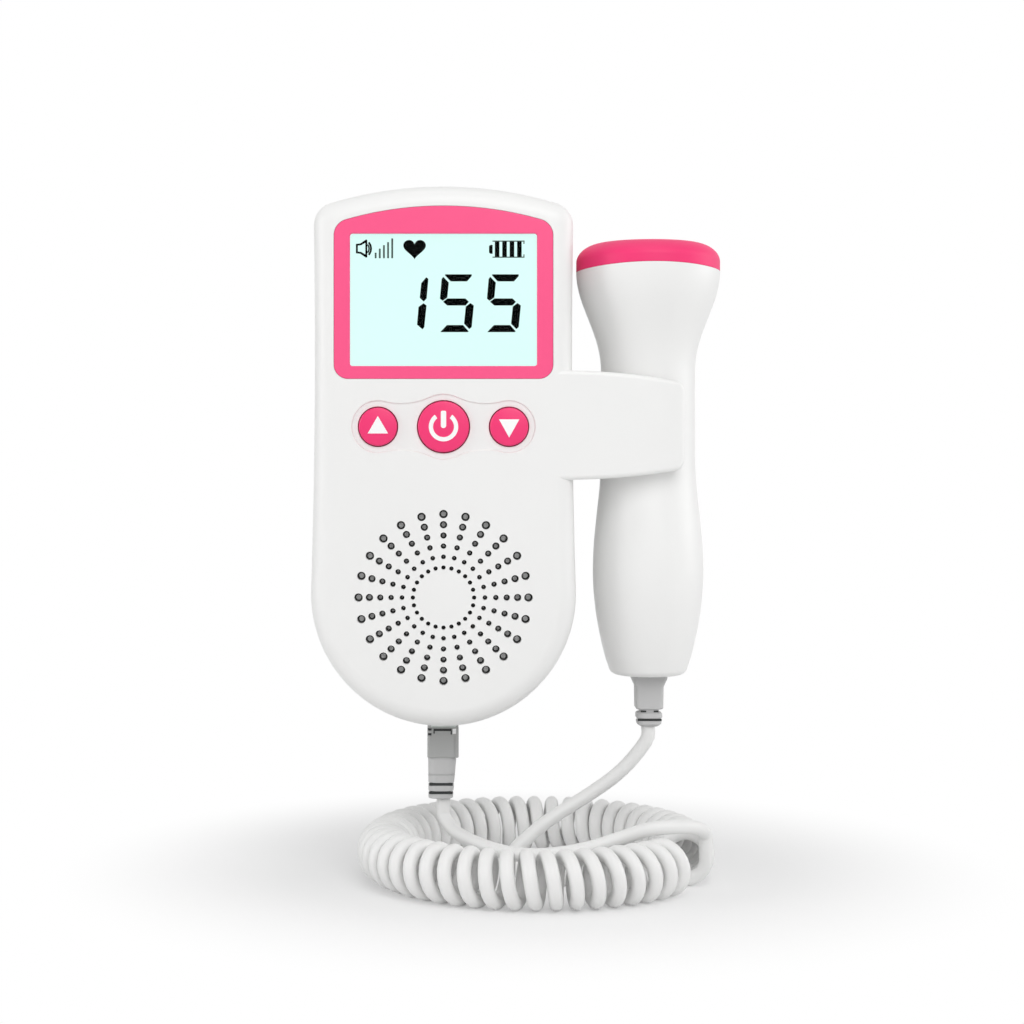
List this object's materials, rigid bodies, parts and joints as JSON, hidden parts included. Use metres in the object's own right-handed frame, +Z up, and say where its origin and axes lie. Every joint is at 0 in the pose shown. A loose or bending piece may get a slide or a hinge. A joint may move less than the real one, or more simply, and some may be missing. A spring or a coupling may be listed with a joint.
{
  "type": "fetal doppler monitor",
  "caption": "Hand unit with arched display bezel, round speaker grille and buttons; a side holder keeps the probe, joined by a curly cord.",
  "frame": {"origin": "on the unit's flat back, level with the middle of the speaker grille, half way across", "axes": "+X to the probe's side, +Y out of the back, +Z up towards the display"},
  "size_m": [0.1013, 0.0891, 0.1712],
  "materials": {
    "white_plastic": "satin",
    "pink_plastic": "gloss",
    "button_plastic": "satin",
    "clear_window": "gloss",
    "display_glass": "gloss",
    "light_guide": "matte",
    "black_plastic": "matte",
    "circuit_board": "satin",
    "grey_plug": "satin",
    "grey_cord": "satin",
    "dark_cloth": "matte",
    "crystal": "matte",
    "steel": "brushed",
    "cell_sleeve": "satin"
  },
  "bodies": {
    "unit": {"front_shell": "white_plastic", "rear_shell": "white_plastic", "display_bezel": "pink_plastic", "display_window": "clear_window", "lcd_glass": "display_glass", "lcd_backlight": "light_guide", "lcd_connector": "black_plastic", "line_socket": "black_plastic", "switch_body_up": "black_plastic", "switch_body_power": "black_plastic", "switch_body_down": "black_plastic", "main_board": "circuit_board", "line_plug": "grey_plug", "line_boot": "grey_plug", "cord_coil": "grey_cord", "cord_unit_tail": "grey_cord", "cord_probe_tail": "grey_cord", "grille_mesh": "dark_cloth", "speaker_cone": "dark_cloth", "speaker_frame": "steel", "speaker_magnet": "steel", "contact_bridge": "steel", "battery_spring_left": "steel", "battery_spring_right": "steel", "contact_plate_left": "steel", "contact_plate_right": "steel", "casing_screw_1": "steel", "casing_screw_2": "steel", "casing_screw_3": "steel", "casing_screw_4": "steel", "battery_cell_left": "cell_sleeve", "battery_cell_right": "cell_sleeve"},
    "button_up": {"button_up": "button_plastic", "switch_plunger_up": "black_plastic"},
    "button_power": {"button_power": "button_plastic", "switch_plunger_power": "black_plastic"},
    "button_down": {"button_down": "button_plastic", "switch_plunger_down": "black_plastic"},
    "door": {"battery_door": "white_plastic"},
    "probe": {"probe_shell_front": "white_plastic", "probe_shell_rear": "white_plastic", "probe_cap": "pink_plastic", "transducer_send": "crystal", "transducer_receive": "crystal", "transducer_backing": "black_plastic", "probe_board": "circuit_board", "probe_socket": "black_plastic", "probe_plug": "grey_plug", "probe_boot": "grey_plug"}
  },
  "joints": [
    {"name": "press_up", "type": "slide", "parent": "unit", "child": "button_up", "axis": [0, 1, 0], "range_m": [0, 0.0005], "stiffness_N_per_m": 400},
    {"name": "press_power", "type": "slide", "parent": "unit", "child": "button_power", "axis": [0, 1, 0], "range_m": [0, 0.0005], "stiffness_N_per_m": 400},
    {"name": "press_down", "type": "slide", "parent": "unit", "child": "button_down", "axis": [0, 1, 0], "range_m": [0, 0.0005], "stiffness_N_per_m": 400},
    {"name": "door_swing", "type": "hinge", "parent": "unit", "child": "door", "pos_m": [0, 0, 0.0901], "axis": [1, 0, 0], "range_deg": [0, 60]},
    {"name": "probe_pull", "type": "slide", "parent": "unit", "child": "probe", "axis": [1, 0, 0], "range_m": [0, 0.03]}
  ]
}
